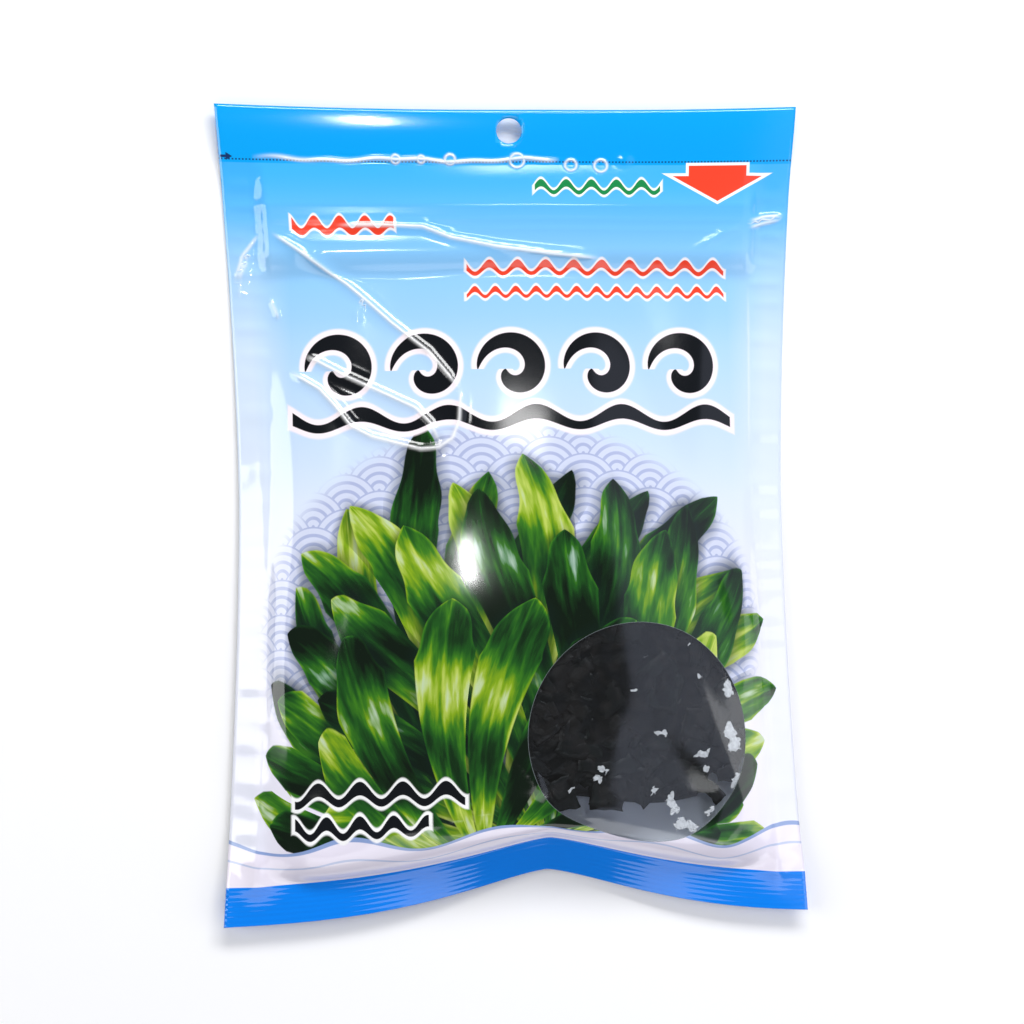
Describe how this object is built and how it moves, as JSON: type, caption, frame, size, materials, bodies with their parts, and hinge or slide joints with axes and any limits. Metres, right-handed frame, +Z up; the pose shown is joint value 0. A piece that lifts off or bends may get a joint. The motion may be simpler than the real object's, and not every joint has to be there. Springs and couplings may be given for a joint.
{
  "type": "dried wakame pouch",
  "caption": "Flat resealable film pouch lying on its back, bulging with dried cut wakame, with a welded header, a hang hole and a round clear window.",
  "frame": {"origin": "on the table, under the middle of the pouch", "axes": "+Z up, out of the printed front; +Y towards the hanging header, the top of the pouch as it hangs; +X towards the right side of the front"},
  "size_m": [0.18, 0.25, 0.022],
  "materials": {
    "front_film": "glossy printed film, blue fading to white",
    "back_film": "glossy white film with blue bands",
    "zip_strip": "milky clear polyethylene",
    "dried_wakame": "black-green, dull, crinkled"
  },
  "bodies": {
    "root": {"front_panel": "front_film", "back_panel": "back_film", "zip_ribbed_strip": "zip_strip", "zip_grooved_strip": "zip_strip", "cut_wakame": "dried_wakame"}
  },
  "joints": []
}
